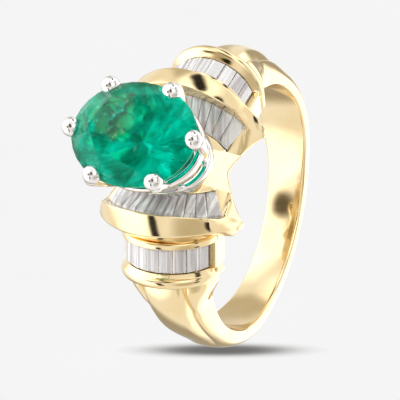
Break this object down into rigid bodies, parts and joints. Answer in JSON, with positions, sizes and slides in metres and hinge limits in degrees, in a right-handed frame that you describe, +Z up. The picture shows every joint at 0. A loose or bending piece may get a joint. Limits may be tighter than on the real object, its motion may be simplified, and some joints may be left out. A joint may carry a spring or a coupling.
{
  "type": "cocktail ring",
  "caption": "Gold cocktail ring: an oval green stone in a claw basket between two arched crescents, each with a fan of baguette stones, and a stone-set dome on each shoulder.",
  "frame": {"origin": "the middle of the finger hole, halfway along the finger axis", "axes": "+Z up through the oval stone, +Y along the finger axis, +X from the left shoulder to the right shoulder"},
  "size_m": [0.0202, 0.0104, 0.0297],
  "materials": {
    "yellow_gold": "polished",
    "white_gold": "polished",
    "emerald": "faceted",
    "diamond": "faceted"
  },
  "bodies": {
    "root": {"shank": "yellow_gold", "shoulder_setting_left": "yellow_gold", "shoulder_setting_right": "yellow_gold", "crescent_left": "yellow_gold", "crescent_right": "yellow_gold", "head_bridge": "yellow_gold", "basket_head": "white_gold", "emerald": "emerald", "fan_baguette_left_01": "diamond", "fan_baguette_left_02": "diamond", "fan_baguette_left_03": "diamond", "fan_baguette_left_04": "diamond", "fan_baguette_left_05": "diamond", "fan_baguette_left_06": "diamond", "fan_baguette_left_07": "diamond", "fan_baguette_left_08": "diamond", "fan_baguette_left_09": "diamond", "fan_baguette_left_10": "diamond", "fan_baguette_left_11": "diamond", "fan_baguette_left_12": "diamond", "fan_baguette_left_13": "diamond", "fan_baguette_right_01": "diamond", "fan_baguette_right_02": "diamond", "fan_baguette_right_03": "diamond", "fan_baguette_right_04": "diamond", "fan_baguette_right_05": "diamond", "fan_baguette_right_06": "diamond", "fan_baguette_right_07": "diamond", "fan_baguette_right_08": "diamond", "fan_baguette_right_09": "diamond", "fan_baguette_right_10": "diamond", "fan_baguette_right_11": "diamond", "fan_baguette_right_12": "diamond", "fan_baguette_right_13": "diamond", "shoulder_baguette_left_01": "diamond", "shoulder_baguette_left_02": "diamond", "shoulder_baguette_left_03": "diamond", "shoulder_baguette_left_04": "diamond", "shoulder_baguette_left_05": "diamond", "shoulder_baguette_left_06": "diamond", "shoulder_baguette_left_07": "diamond", "shoulder_baguette_left_08": "diamond", "shoulder_baguette_left_09": "diamond", "shoulder_baguette_right_01": "diamond", "shoulder_baguette_right_02": "diamond", "shoulder_baguette_right_03": "diamond", "shoulder_baguette_right_04": "diamond", "shoulder_baguette_right_05": "diamond", "shoulder_baguette_right_06": "diamond", "shoulder_baguette_right_07": "diamond", "shoulder_baguette_right_08": "diamond", "shoulder_baguette_right_09": "diamond"}
  },
  "joints": []
}
